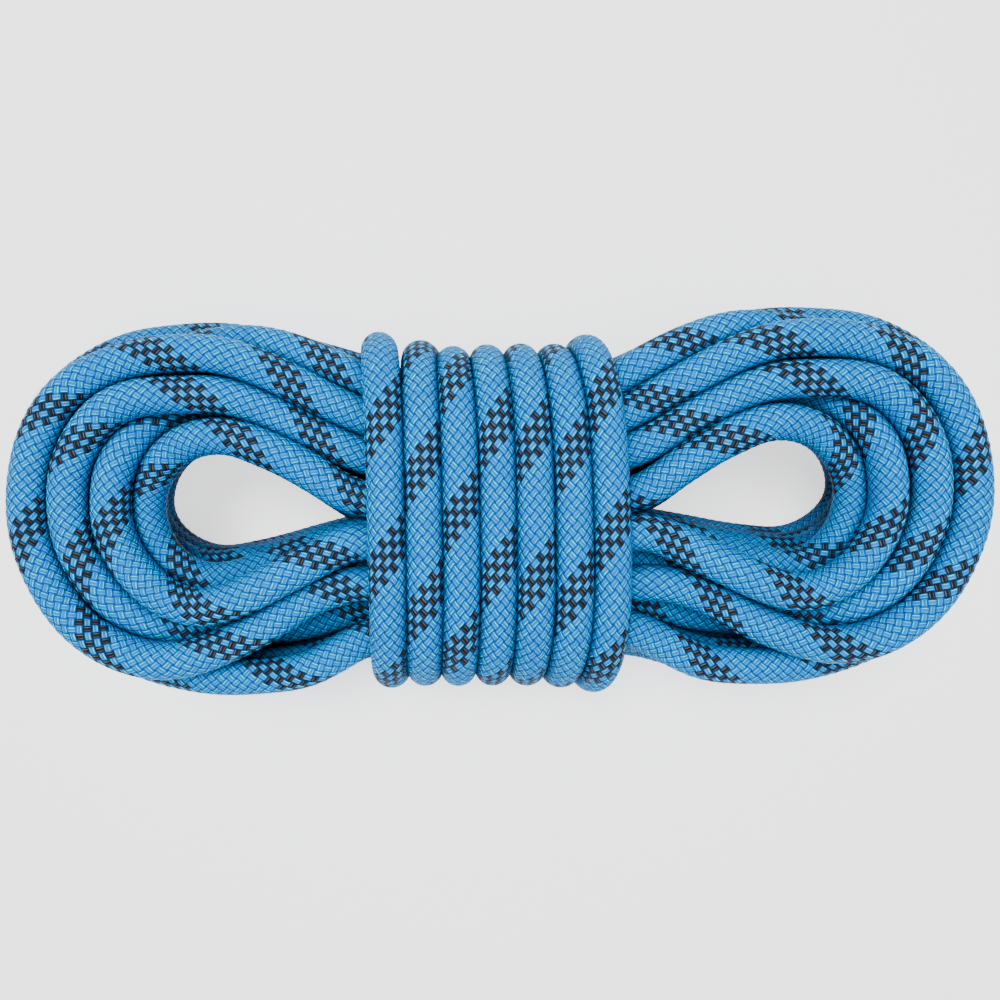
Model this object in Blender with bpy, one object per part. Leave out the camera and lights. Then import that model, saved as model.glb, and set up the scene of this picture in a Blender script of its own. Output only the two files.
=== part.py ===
"""A dynamic climbing rope, 10.2 mm thick and about 11.5 m long, made up into a wrapped bundle.

Sixteen long loops lie in four nests, seven turns are wrapped round their waist, and both ends are
tucked under one lobe. The rope is one continuous kernmantle line: its centre line is laid out here
stretch by stretch, settled so that it touches itself without passing through itself, and then made
into one tube for each loop and each turn. The last centimetres of both ends show how the rope is
built: a woven sheath round seven twisted core strands, a melted end plug and a shrunk end sleeve.

Routes and sizes are written in millimetres; MM turns them into Blender's metres. X runs along the
bundle, Y across it, +Z up, and the origin is on the floor under the bundle's middle.
"""
import math

import bmesh
import bpy
import numpy as np
from mathutils import Matrix, Vector

MM = 0.001

# ---- driving dimensions, in millimetres ---------------------------------------------------------
ROPE = 10.2                 # the rope's diameter
TOUCH = 10.15               # distance between the centre lines of two stretches that touch
WRAP_TOUCH = 9.8            # the same between two turns of the wrap, which are pulled tight
STEP = 4.0                  # spacing of the centre line's points
TUBE = 4.8                  # radius of a stretch's solid, at its corners
SIDES = 8
END_PIECE = 1.2             # length of the straight piece at each end of a stretch's solid
REST = TUBE                 # height of a centre line that lies on the floor
GAP = 0.3                   # between two solids that touch
PINCH_ROOM = 0.12           # left free on each side where the rope is pinched
AWAY = 24.0                 # two places further apart than this along the rope can press on each other

# the waist: four rows of loops on each side of the bundle's middle, in four layers
WAIST_Y = -4.2
ROWS = (34.0, 24.3, 14.6, 4.9)
LAYERS = (15.2, 25.5, 35.8, 46.0)
LAYER_SHIFT = 5.0           # neighbouring rows lie half a layer higher, like stacked logs
NEST_DROP = 12.3            # from one layer of a nest down to the next
NEST_SPREAD = 0.020         # a lower layer lies this much further out
NEST_SPREAD_INNER = 0.012
TILT = 0.05                 # the right lobe is turned this much, in radians
WAIST_HALF = 18.0           # the loops run straight for this far on both sides of the middle
WAIST_SHARE = 0.85          # how near a loop is to its own row there; it changes rows in the middle

# the wrap
TURNS = 7
LAST_TURN_SHORT = 0.36      # the wrap ends this part of a turn early, behind the bundle
TURN_POINTS = 28
WRAP_FRONT = 61.8
WRAP_HALF = 41.5
WRAP_GROWTH = 0.3
WRAP_Y = -3.0
WRAP_LEFT = -33.2
TURN_PITCH = 9.86
BULGE = 3.3
LEAN = 1.1
ROUNDNESS = 0.68
SPLIT_AT = 0.75             # a turn's solid ends in the middle of its back
CROSS_FROM = 0.55           # a turn moves on to the next one from here, as a share of the turn
CROSS_PART = 0.4            # and over this much of it

# settling: the rope is pushed apart, bent back smooth and drawn towards its route, round by round
ROUNDS = 360
SEARCH_EVERY = 12           # rounds between two searches for the stretches that touch
SEARCH_ROOM = 4.0
NEIGHBOURS = 6              # points this near along the rope never push each other
PUSH = 1.5                  # more than the whole overlap, so that it settles sooner
STIFFNESS = 0.25
PULL = 0.02                 # towards the route, less and less
PULL_UNTIL = 0.6            # and not at all after this share of the rounds
WRAP_GIVE = 0.2             # the wrap's front and sides are pulled tight and move this little
WRAP_LOW = 30.0             # below this height the wrap gives way like the loops

# how finely a stretch's solid follows the rope, in rope diameters
SPACING = 0.78
SPACING_LEAST = 1.1
SPACING_MOST = 2.5

# the opened stretch at each end of the rope
OPENED = 27.0
OPENED_GAP = 0.8            # from the closed rope to its opened stretch
SHEATH_OUT = 4.55
SHEATH_WALL = 0.8
STRANDS = 7
STRAND = 1.1                # radius of a core strand
STRAND_RING = 2.4           # the six outer strands lie on this radius
STRAND_TWIST = 1.1          # turns of the outer strands along the opened stretch
PLUG = 3.0                  # length of the melted end plug
PLUG_CHAMFER = 0.5
SLEEVE = 16.0
SLEEVE_IN = SHEATH_OUT + 0.15
SLEEVE_OUT = SLEEVE_IN + 0.25
SLEEVE_END = 1.0            # the sleeve stands past the plug by this much

# ---- the left half of each loop that can be told apart, from the lower side of the waist --------
# ---- round the lobe to the upper side; the right half is the same half mirrored and tilted ------
ROUTES = {
    "top_outer": [
        (-37, -25, 50), (-52, -28, 50), (-66, -36, 51), (-77, -41, 52), (-87, -44, 54),
        (-97, -43, 55), (-107, -38, 56), (-116, -30, 56), (-122, -20, 56), (-126, -10, 56),
        (-127, 0, 56), (-126, 10, 56), (-122, 21, 56), (-114, 30, 56), (-105, 34, 56),
        (-96, 37, 56), (-86, 38, 56), (-76, 38, 55), (-66, 35, 53), (-52, 29, 50),
        (-38, 25, 48)],
    "rim": [
        (-38, -44, 46), (-53, -51, 46), (-68, -52, 46), (-79, -52, 45), (-91, -50, 44),
        (-103, -46, 44), (-114, -39, 44), (-123, -31, 44), (-128, -21, 44), (-131, -10, 44),
        (-132, 0, 44), (-131, 11, 44), (-127, 22, 44), (-119, 30, 44), (-110, 36, 44),
        (-101, 39, 44), (-90, 42, 45), (-79, 44, 47), (-67, 45, 49), (-52, 42, 50),
        (-38, 37, 50)],
    "outer": [
        (-40, -42, 35), (-56, -48, 34), (-72, -50, 33), (-85, -50, 32), (-97, -49, 32),
        (-109, -45, 32), (-119, -39, 32), (-128, -31, 32), (-134, -22, 32), (-137, -11, 32),
        (-138, 0, 32), (-138, 11, 32), (-137, 21, 33), (-132, 31, 34), (-122, 39, 35),
        (-109, 45, 36), (-96, 47, 36), (-83, 48, 36), (-71, 47, 35), (-56, 43, 35),
        (-40, 37, 35)],
    "top_middle": [
        (-39, -20, 39), (-55, -24, 38), (-70, -31, 38), (-80, -36, 40), (-88, -38, 44),
        (-96, -35, 49), (-105, -29, 53), (-112, -20, 54), (-116, -12, 54), (-117, -3, 54),
        (-116, 7, 54), (-112, 15, 54), (-105, 23, 54), (-95, 27, 54), (-85, 28, 54),
        (-76, 29, 54), (-66, 27, 52), (-52, 21, 50), (-38, 14, 49)],
    "top_inner": [
        (-37, -11, 53), (-51, -17, 55), (-61, -22, 57), (-71, -27, 57), (-82, -30, 56),
        (-92, -27, 55), (-99, -22, 54), (-104, -15, 54), (-107, -8, 54), (-107, 0, 54),
        (-107, 6, 54), (-105, 12, 53), (-101, 19, 51), (-95, 23, 48), (-87, 26, 43),
        (-77, 26, 41), (-66, 23, 40), (-54, 17, 40), (-39, 11, 40)],
    "eye": [
        (-39, -10, 41), (-54, -15, 42), (-65, -19, 43), (-74, -22, 44), (-83, -23, 45),
        (-91, -20, 46), (-98, -13, 46), (-101, -6, 46), (-102, 1, 46), (-100, 8, 47),
        (-95, 14, 49), (-88, 19, 51), (-80, 21, 53), (-72, 21, 54), (-65, 18, 54),
        (-58, 15, 53), (-51, 10, 52), (-37, 0, 50)],
    "inner": [
        (-41, -11, 31), (-56, -14, 31), (-68, -17, 31), (-80, -19, 32), (-89, -20, 33),
        (-97, -16, 34), (-104, -10, 35), (-107, -3, 35), (-107, 3, 35), (-105, 10, 36),
        (-99, 17, 38), (-90, 22, 40), (-80, 22, 41), (-71, 19, 42), (-63, 14, 41),
        (-51, 5, 40), (-39, -4, 40)],
}
# each loop in the order in which the rope makes it: its route, or its nest and layer, and the row
# and layer of the waist in which its lower and its upper side lie
LOOPS = (
    ((0, 0), (0, 0), (0, 0)),
    ((0, 1), (0, 1), (0, 1)),
    ("outer", (0, 2), (0, 2)),
    ("rim", (0, 3), (0, 3)),
    ("top_outer", (1, 3), (1, 3)),
    ((1, 2), (1, 2), (1, 2)),
    ((1, 1), (1, 1), (1, 1)),
    ((1, 0), (1, 0), (1, 0)),
    ((2, 0), (2, 0), (2, 0)),
    ((2, 1), (2, 1), (2, 1)),
    ("top_middle", (2, 2), (2, 3)),
    ("top_inner", (2, 3), (2, 2)),
    ("eye", (3, 3), (3, 3)),
    ("inner", (3, 2), (3, 2)),
    ((3, 1), (3, 1), (3, 1)),
    ((3, 0), (3, 0), (3, 0)),
)
NESTS = 4
LAYER_OF_ROUTES = 2         # the layer in which the outer and the inner route lie
BEFORE = np.array([-37.0, 12.0])    # where the first end comes into the waist, as y and z
AFTER = np.array([-18.0, 12.5])     # where the rope leaves the waist for the wrap
END_A = [(108, -37.5, 5.8), (92, -37.5, 5.8), (76, -37.5, 5.8), (60, -37, 6), (46, -36, 8),
         (32, -37, 11), (18, -37, 12)]
LEAD = [(-18, -18, 12.5), (-34, -19, 11), (-47, -22, 7), (-53, -30, 5.1), (-49, -39, 5.1),
        (-40, -45, 8)]
END_B = [(34.5, 8, 5), (38, -6, 5), (46, -18, 5), (58, -25, 5.4), (76, -26.5, 5.8),
         (92, -26.5, 5.8), (108, -26.5, 5.8)]

# ---- colours ------------------------------------------------------------------------------------
BLUE = (0.004, 0.231, 0.630, 1.0)
DEEP_BLUE = (0.003, 0.190, 0.560, 1.0)
CORE_WHITE = (0.78, 0.78, 0.74, 1.0)
FUSED = (0.010, 0.070, 0.180, 1.0)
SLEEVE_BLACK = (0.015, 0.015, 0.018, 1.0)


# ---- curves -------------------------------------------------------------------------------------
def arc(points):
    """The length along a line of points, up to each point."""
    steps = np.linalg.norm(np.diff(points, axis=0), axis=1)
    return np.concatenate([[0.0], np.cumsum(steps)])


def resample(points, count):
    """The same line, with its points evenly spaced."""
    along = arc(points)
    wanted = np.linspace(0.0, along[-1], count)
    return np.stack([np.interp(wanted, along, points[:, k]) for k in range(3)], axis=1)


def smooth_curve(points, parts=12):
    """A centripetal Catmull-Rom curve through points chosen by hand, sampled every STEP.

    Returns the curve and, for each point given, the number of the sample nearest to it.
    """
    p = np.array(points, float)
    p = np.vstack([2 * p[0] - p[1], p, 2 * p[-1] - p[-2]])
    t = np.concatenate([[0.0], np.cumsum(np.linalg.norm(np.diff(p, axis=0), axis=1) ** 0.5)])
    spans = []
    for i in range(1, len(p) - 2):
        t0, t1, t2, t3 = t[i - 1:i + 3]
        u = np.linspace(t1, t2, parts + 1)[:-1, None]
        a1 = (t1 - u) / (t1 - t0) * p[i - 1] + (u - t0) / (t1 - t0) * p[i]
        a2 = (t2 - u) / (t2 - t1) * p[i] + (u - t1) / (t2 - t1) * p[i + 1]
        a3 = (t3 - u) / (t3 - t2) * p[i + 1] + (u - t2) / (t3 - t2) * p[i + 2]
        b1 = (t2 - u) / (t2 - t0) * a1 + (u - t0) / (t2 - t0) * a2
        b2 = (t3 - u) / (t3 - t1) * a2 + (u - t1) / (t3 - t1) * a3
        spans.append((t2 - u) / (t2 - t1) * b1 + (u - t1) / (t2 - t1) * b2)
    line = np.vstack(spans + [p[-2:-1]])
    along = arc(line)
    count = round(along[-1] / STEP) + 1
    nearest = np.rint(along[::parts] / along[-1] * (count - 1)).astype(int)
    return resample(line, count), nearest


# ---- the loops ----------------------------------------------------------------------------------
def waist_slot(side, row, layer):
    """Where a loop crosses the waist, as y and z; side is -1 for its lower side and 1 for its upper."""
    shifted = row % 2 if side > 0 else (row + 1) % 2
    return np.array([WAIST_Y + side * ROWS[row], LAYERS[layer] + LAYER_SHIFT * shifted])


def left_half(spec, count=19):
    """The left half of a loop: a named route, or one between the outer and the inner route."""
    if isinstance(spec, str):
        return np.array(ROUTES[spec], float)
    nest, layer = spec
    share = nest / (NESTS - 1)
    outer = resample(np.array(ROUTES["outer"], float), count)
    inner = resample(np.array(ROUTES["inner"], float), count)
    line = (1 - share) * outer + share * inner
    below = LAYER_OF_ROUTES - layer
    line[:, 2] -= NEST_DROP * below
    line[:, :2] *= 1 + below * (NEST_SPREAD + NEST_SPREAD_INNER * share)
    return line


def right_half(left):
    """The left half mirrored, turned by TILT and run the other way."""
    line = left[::-1].copy()
    x = -line[:, 0]
    y = line[:, 1].copy()
    line[:, 0] = x - TILT * y
    line[:, 1] = y + TILT * x
    return line


def loop_points(number):
    """One loop, from the middle of the waist's lower side all the way round to it again."""
    spec, low, high = LOOPS[number]
    own = waist_slot(-1, *low)
    above = waist_slot(1, *high)
    before = waist_slot(-1, *LOOPS[number - 1][1]) if number else BEFORE
    after = waist_slot(-1, *LOOPS[number + 1][1]) if number + 1 < len(LOOPS) else AFTER
    left = left_half(spec)
    coming = WAIST_SHARE * own + (1 - WAIST_SHARE) * before
    going = WAIST_SHARE * own + (1 - WAIST_SHARE) * after
    points = [(0, *((own + before) / 2)), (-WAIST_HALF, *coming)]
    points += [tuple(point) for point in left]
    points += [(x, *above) for x in (-WAIST_HALF, 0, WAIST_HALF)]
    points += [tuple(point) for point in right_half(left)]
    points += [(WAIST_HALF, *going), (0, *((own + after) / 2))]
    return points


# ---- the wrap -----------------------------------------------------------------------------------
def rounded(value):
    """A sine or cosine squared up, for the rounded box that the turns follow."""
    return math.copysign(abs(value) ** ROUNDNESS, value)


def wrap_points():
    """Seven turns: each goes up the front, over the upper side, down the back and one pitch on."""
    points = []
    middle = (WRAP_FRONT + REST) / 2
    half = (WRAP_FRONT - REST) / 2
    for step in range(round((TURNS - LAST_TURN_SHORT) * TURN_POINTS) + 1):
        turn, part = divmod(step / TURN_POINTS, 1.0)
        up = -rounded(math.cos(math.tau * part))
        out = rounded(math.sin(math.tau * part))
        crossing = min(1.0, max(0.0, (part - CROSS_FROM) / CROSS_PART))
        along = turn + 0.5 * (1 - math.cos(math.pi * crossing))
        x = WRAP_LEFT + TURN_PITCH * along + BULGE * max(0.0, out) ** 2 - LEAN * up
        points.append((x, WRAP_Y + (WRAP_HALF + WRAP_GROWTH * turn) * up, middle + half * out))
    return points


# ---- the whole rope -----------------------------------------------------------------------------
def lay_out():
    """The rope's centre line from end to end, and the name and first point of each stretch."""
    first = waist_slot(-1, *LOOPS[0][1])
    last = waist_slot(-1, *LOOPS[-1][1])
    wrap = wrap_points()
    stretches = [("end_a", END_A + [(0, *((first + BEFORE) / 2))])]
    for number in range(len(LOOPS)):
        stretches.append((f"loop_{number + 1:02d}", loop_points(number)[1:]))
    stretches.append(("lead", LEAD))
    start = 1
    for turn in range(TURNS):
        end = round((turn + SPLIT_AT) * TURN_POINTS) + 1 if turn + 1 < TURNS else len(wrap)
        stretches.append((f"wrap_turn_{turn + 1}", wrap[start:end]))
        start = end
    stretches.append(("end_b", END_B))
    line, nearest = smooth_curve([point for _, points in stretches for point in points])
    starts = [0]
    at = 0
    for _, points in stretches[:-1]:
        at += len(points)
        starts.append(nearest[at - 1])
    return line, [name for name, _ in stretches], starts


def near_pairs(x, reach, rows=300):
    """All pairs of points closer than reach that aren't close along the rope."""
    first, second = [], []
    for start in range(0, len(x), rows):
        block = x[start:start + rows]
        apart = ((block[:, None] - x[None, start:]) ** 2).sum(2)
        i, j = np.nonzero(apart < reach ** 2)
        keep = j > i + NEIGHBOURS
        first.append(i[keep] + start)
        second.append(j[keep] + start)
    return np.concatenate(first), np.concatenate(second)


def settle(start, names, starts):
    """Moves the centre line until the rope no longer passes through itself or through the floor."""
    count = len(start)
    wrapped = np.zeros(count, bool)
    wrapped[starts[names.index("lead")]:starts[names.index("end_b")]] = True
    give = np.where(wrapped & (start[:, 2] > WRAP_LOW), WRAP_GIVE, 1.0)
    floor = np.full(count, REST)
    opened = round((OPENED + SLEEVE_END) / STEP) + 2
    floor[:opened] = SLEEVE_OUT
    floor[-opened:] = SLEEVE_OUT
    x = start.copy()
    for turn in range(ROUNDS):
        if turn % SEARCH_EVERY == 0:
            i, j = near_pairs(x, TOUCH + SEARCH_ROOM)
            share = give[i] / (give[i] + give[j])
            reach = np.where(wrapped[i] & wrapped[j], WRAP_TOUCH, TOUCH)
        gap = x[j] - x[i]
        apart = np.sqrt((gap * gap).sum(1))
        hit = np.nonzero(apart < reach)[0]
        a, b, w = i[hit], j[hit], share[hit]
        push = gap[hit] * ((reach[hit] - apart[hit]) / np.maximum(apart[hit], 1e-6))[:, None]
        hits = np.bincount(a, minlength=count) + np.bincount(b, minlength=count)
        move = np.stack([np.bincount(b, (1 - w) * push[:, k], count)
                         - np.bincount(a, w * push[:, k], count) for k in range(3)], axis=1)
        x = x + PUSH * move / np.maximum(hits, 1.0)[:, None]
        shift = x - start
        shift[1:-1] += STIFFNESS * (shift[:-2] - 2 * shift[1:-1] + shift[2:])
        shift *= 1 - PULL * max(0.0, 1 - turn / (PULL_UNTIL * ROUNDS))
        x = start + shift
        x[:, 2] = np.maximum(x[:, 2], floor)
    x[:, :2] -= (x[:, :2].min(axis=0) + x[:, :2].max(axis=0)) / 2
    return x


# ---- solids -------------------------------------------------------------------------------------
def make_material(name, colour, roughness):
    """A plain Principled material."""
    material = bpy.data.materials.new(name)
    material.use_nodes = True
    shader = material.node_tree.nodes["Principled BSDF"]
    shader.inputs["Base Color"].default_value = colour
    shader.inputs["Roughness"].default_value = roughness
    shader.inputs["Metallic"].default_value = 0.0
    material.diffuse_color = colour
    return material


def point_at(line, distance):
    """The point this far along a line."""
    along = arc(line)
    return np.array([np.interp(distance, along, line[:, k]) for k in range(3)])


def unit(vector):
    return vector / np.linalg.norm(vector)


def end_pieces(rope, index, inward):
    """The first two points of a tube that meets its neighbour face to face at a point of the rope."""
    before = rope[max(index - 1, 0)]
    after = rope[min(index + 1, len(rope) - 1)]
    direction = inward * unit(after - before)
    return [rope[index] + direction * GAP / 2, rope[index] + direction * (GAP / 2 + END_PIECE)]


def opened_pieces(stretch, tip):
    """The same two points where a tube meets the opened end of the rope."""
    start = point_at(stretch, OPENED)
    return [start, start + END_PIECE * unit(start - tip)]


def tube_points(rope, first, last):
    """The points of one stretch's tube, from one of its end faces to the other."""
    stretch = rope[first:last + 1]
    head = end_pieces(rope, first, 1.0) if first else opened_pieces(stretch, stretch[0])
    ending = last == len(rope) - 1
    tail = opened_pieces(stretch[::-1], stretch[-1]) if ending else end_pieces(rope, last, -1.0)
    skipped = 2.5 * END_PIECE
    along = arc(stretch)
    low = (skipped if first else OPENED + skipped)
    high = along[-1] - (OPENED + skipped if ending else skipped)
    inside = stretch[(along > low) & (along < high)]
    middle = np.vstack([point_at(stretch, low), inside, point_at(stretch, high)])
    return np.vstack([head, thin_out(middle), tail[::-1]])


def thin_out(line, passes=8):
    """The points of a tube: close together in tight bends and far apart on straight runs."""
    fine = resample(line, max(8, int(arc(line)[-1])))
    along = arc(fine)
    smooth = fine.copy()
    for _ in range(passes):
        smooth[1:-1] = (smooth[:-2] + 2 * smooth[1:-1] + smooth[2:]) / 4
    tangent = np.gradient(smooth, along, axis=0)
    tangent /= np.linalg.norm(tangent, axis=1)[:, None]
    bend = np.linalg.norm(np.gradient(tangent, along, axis=0), axis=1)
    wide = SPACING * np.sqrt(1 / np.maximum(bend * ROPE, 1e-4))
    spacing = np.clip(wide, SPACING_LEAST, SPACING_MOST) * ROPE
    share = np.concatenate([[0.0], np.cumsum(np.diff(along) / (0.5 * (spacing[1:] + spacing[:-1])))])
    count = max(2, math.ceil(share[-1]))
    wanted = np.interp(np.linspace(0.0, share[-1], count + 1), share, along)
    return np.stack([np.interp(wanted, along, fine[:, k]) for k in range(3)], axis=1)


def samples_of(line, every=2.0):
    """Points along a tube's straight pieces, with the number of the piece that each lies on."""
    points, piece = [], []
    for k in range(len(line) - 1):
        steps = max(1, math.ceil(np.linalg.norm(line[k + 1] - line[k]) / every))
        for step in range(steps):
            points.append(line[k] + (line[k + 1] - line[k]) * step / steps)
            piece.append(k)
    points.append(line[-1])
    piece.append(len(line) - 2)
    return np.array(points), np.array(piece)


def squeezed_radii(names, lines, opened):
    """Each tube's radius at each of its points: a little less where another stretch presses on it."""
    sampled = [samples_of(line) for line in lines]
    ends = np.vstack([samples_of(line)[0] for line in opened])
    radii = [np.full(len(line), TUBE) for line in lines]
    along_rope = np.cumsum([0.0] + [arc(line)[-1] for line in lines])
    places = [along_rope[k] + np.concatenate([[0.0], np.cumsum(np.linalg.norm(
        np.diff(sampled[k][0], axis=0), axis=1))]) for k in range(len(lines))]
    everything = np.vstack([points for points, _ in sampled])
    where = np.concatenate(places)
    for k, (points, piece) in enumerate(sampled):
        apart = np.linalg.norm(points[:, None] - everything[None], axis=2)
        apart[np.abs(places[k][:, None] - where[None]) < AWAY] = np.inf
        room = apart.min(axis=1) / 2
        if names[k] not in ("end_a", "end_b"):
            beside_end = np.linalg.norm(points[:, None] - ends[None], axis=2).min(axis=1)
            room = np.minimum(room, beside_end - SLEEVE_OUT)
        room -= PINCH_ROOM
        for number, free in zip(piece, room):
            radii[k][number] = min(radii[k][number], free)
            radii[k][number + 1] = min(radii[k][number + 1], free)
    return radii


def make_tube(name, line, radii, material):
    """One stretch of rope as a curve object with a bevel, filled at both ends."""
    curve = bpy.data.curves.new(name, "CURVE")
    curve.dimensions = "3D"
    curve.bevel_depth = TUBE * MM
    curve.bevel_resolution = SIDES // 2 - 2
    curve.use_fill_caps = True
    curve.resolution_u = 1
    curve.render_resolution_u = 0
    curve.twist_mode = "MINIMUM"
    spline = curve.splines.new("POLY")
    spline.points.add(len(line) - 1)
    for point, place, radius in zip(spline.points, line, radii):
        point.co = (*(place * MM), 1.0)
        point.radius = radius / TUBE
        point.tilt = math.pi / SIDES
    curve.materials.append(material)
    tube = bpy.data.objects.new(name, curve)
    bpy.context.collection.objects.link(tube)
    return tube


# ---- the opened stretch at each end -------------------------------------------------------------
def make_mesh(name, build, material, place):
    """A mesh object from a function that fills a bmesh, placed by its matrix."""
    bm = bmesh.new()
    build(bm)
    bmesh.ops.recalc_face_normals(bm, faces=bm.faces)
    mesh = bpy.data.meshes.new(name)
    bm.to_mesh(mesh)
    bm.free()
    mesh.materials.append(material)
    mesh.shade_smooth()
    mesh.set_sharp_from_angle(angle=math.radians(40))
    piece = bpy.data.objects.new(name, mesh)
    piece.matrix_world = place
    bpy.context.collection.objects.link(piece)
    return piece


def turned(bm, profile, sides=16):
    """A ring or a plug: a closed (along, radius) profile turned about the rope's own line, +Z."""
    corners = [bm.verts.new((radius * MM, 0.0, along * MM)) for along, radius in profile]
    edges = [bm.edges.new((corners[k], corners[(k + 1) % len(corners)])) for k in range(len(corners))]
    bmesh.ops.spin(bm, geom=corners + edges, cent=(0, 0, 0), axis=(0, 0, 1), angle=math.tau,
                   steps=sides, use_merge=True, use_duplicate=False)
    bmesh.ops.remove_doubles(bm, verts=bm.verts, dist=1e-6)


def pipe(bm, start, end, outer, inner):
    """A straight pipe."""
    turned(bm, [(start, inner), (start, outer), (end, outer), (end, inner)])


def plug(bm, start, end, radius, sides=16):
    """A solid round plug with a small chamfer."""
    rings = []
    for along, wide in ((start, radius), (end - PLUG_CHAMFER, radius), (end, radius - PLUG_CHAMFER)):
        corners = []
        for k in range(sides):
            around = math.tau * k / sides
            corners.append(bm.verts.new((wide * math.cos(around) * MM, wide * math.sin(around) * MM,
                                         along * MM)))
        rings.append(corners)
    for low, high in zip(rings, rings[1:]):
        for k in range(sides):
            bm.faces.new((low[k], low[(k + 1) % sides], high[(k + 1) % sides], high[k]))
    bm.faces.new(rings[0][::-1])
    bm.faces.new(rings[-1])


def strand(bm, start, end, ring, angle, sides=6, steps=8):
    """One core strand: a thin rod, straight in the middle or twisted round it."""
    rings = []
    for step in range(steps + 1):
        part = step / steps
        turn = angle + math.tau * STRAND_TWIST * (end - start) / OPENED * part
        centre = Vector((ring * math.cos(turn), ring * math.sin(turn), start + (end - start) * part))
        corners = []
        for k in range(sides):
            around = turn + math.tau * k / sides
            out = Vector((STRAND * math.cos(around), STRAND * math.sin(around), 0.0))
            corners.append(bm.verts.new((centre + out) * MM))
        rings.append(corners)
    for low, high in zip(rings, rings[1:]):
        for k in range(sides):
            bm.faces.new((low[k], low[(k + 1) % sides], high[(k + 1) % sides], high[k]))
    bm.faces.new(rings[0][::-1])
    bm.faces.new(rings[-1])


def opened_end(letter, inward, tip, materials):
    """Sheath, seven core strands, end plug and end sleeve on the last centimetres of the rope."""
    direction = Vector(tip - inward).normalized()
    place = Matrix.Translation(Vector(inward) * MM) @ direction.to_track_quat("Z", "Y").to_matrix().to_4x4()
    length = float(np.linalg.norm(tip - inward))
    bore = SHEATH_OUT - SHEATH_WALL
    plug_start = length - PLUG

    make_mesh(f"end_{letter}_sheath", lambda bm: pipe(bm, OPENED_GAP, length, SHEATH_OUT, bore),
              materials["sheath"], place)
    for number in range(STRANDS):
        ring = STRAND_RING if number else 0.0
        angle = math.tau * number / (STRANDS - 1)
        make_mesh(f"end_{letter}_core_strand_{number + 1}",
                  lambda bm: strand(bm, OPENED_GAP, plug_start - GAP, ring, angle),
                  materials["core"], place)
    make_mesh(f"end_{letter}_plug", lambda bm: plug(bm, plug_start, length, bore - GAP / 2),
              materials["fused"], place)
    sleeve_start = length + SLEEVE_END - SLEEVE
    make_mesh(f"end_{letter}_sleeve",
              lambda bm: pipe(bm, sleeve_start, length + SLEEVE_END, SLEEVE_OUT, SLEEVE_IN),
              materials["sleeve"], place)


def remove_everything():
    for old in list(bpy.data.objects):
        bpy.data.objects.remove(old, do_unlink=True)


def build():
    remove_everything()
    centre, names, starts = lay_out()
    rope = settle(centre, names, starts)
    materials = {
        "sheath": make_material("rope_sheath", BLUE, 0.55),
        "wrap": make_material("rope_sheath_wrap", DEEP_BLUE, 0.55),
        "core": make_material("core_yarn", CORE_WHITE, 0.70),
        "fused": make_material("fused_nylon", FUSED, 0.35),
        "sleeve": make_material("shrink_sleeve", SLEEVE_BLACK, 0.45),
    }
    lines = []
    for first, last in zip(starts, starts[1:] + [len(rope) - 1]):
        lines.append(tube_points(rope, first, last))
    opened = [np.array([lines[0][0], rope[0]]), np.array([lines[-1][-1], rope[-1]])]
    for name, line, radii in zip(names, lines, squeezed_radii(names, lines, opened)):
        wrapped = name.startswith(("lead", "wrap"))
        make_tube(name, line, radii, materials["wrap" if wrapped else "sheath"])
    for letter, (inward, tip) in zip("ab", opened):
        opened_end(letter, inward, tip, materials)


build()
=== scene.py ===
"""The looks of a made-up climbing rope: its braided sheath, its dark tracer and its two ends.

The rope's centre line is laid out and settled by the same rules as its solids, in millimetres, and
MM turns it into metres. The sheath is a real braid: twelve carriers each way, whose floats stand
out of the surface, and a tracer of four dark carriers that winds round the rope.
"""
import math

import bpy
import numpy as np
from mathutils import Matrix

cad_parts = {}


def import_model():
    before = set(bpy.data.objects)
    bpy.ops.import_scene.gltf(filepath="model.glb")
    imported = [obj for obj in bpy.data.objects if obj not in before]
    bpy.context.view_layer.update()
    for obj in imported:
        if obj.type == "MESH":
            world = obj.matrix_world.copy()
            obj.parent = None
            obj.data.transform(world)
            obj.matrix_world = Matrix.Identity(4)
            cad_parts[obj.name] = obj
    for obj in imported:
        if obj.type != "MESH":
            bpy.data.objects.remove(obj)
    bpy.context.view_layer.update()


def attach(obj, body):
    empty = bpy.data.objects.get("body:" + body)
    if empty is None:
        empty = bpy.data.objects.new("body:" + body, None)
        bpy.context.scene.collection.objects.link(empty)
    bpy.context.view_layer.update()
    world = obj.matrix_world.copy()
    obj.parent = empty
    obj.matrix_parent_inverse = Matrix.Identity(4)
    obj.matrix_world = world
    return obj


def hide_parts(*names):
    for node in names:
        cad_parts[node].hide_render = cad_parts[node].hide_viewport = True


MM = 0.001

# ---- driving dimensions, in millimetres ---------------------------------------------------------
ROPE = 10.2                 # the rope's diameter
TOUCH = 10.15               # distance between the centre lines of two stretches that touch
WRAP_TOUCH = 9.8            # the same between two turns of the wrap, which are pulled tight
STEP = 4.0                  # spacing of the centre line's points
TUBE = 4.8                  # radius of a stretch's solid, at its corners
REST = TUBE                 # height of a centre line that lies on the floor

# the waist: four rows of loops on each side of the bundle's middle, in four layers
WAIST_Y = -4.2
ROWS = (34.0, 24.3, 14.6, 4.9)
LAYERS = (15.2, 25.5, 35.8, 46.0)
LAYER_SHIFT = 5.0           # neighbouring rows lie half a layer higher, like stacked logs
NEST_DROP = 12.3            # from one layer of a nest down to the next
NEST_SPREAD = 0.020         # a lower layer lies this much further out
NEST_SPREAD_INNER = 0.012
TILT = 0.05                 # the right lobe is turned this much, in radians
WAIST_HALF = 18.0           # the loops run straight for this far on both sides of the middle
WAIST_SHARE = 0.85          # how near a loop is to its own row there; between, it changes rows

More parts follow.
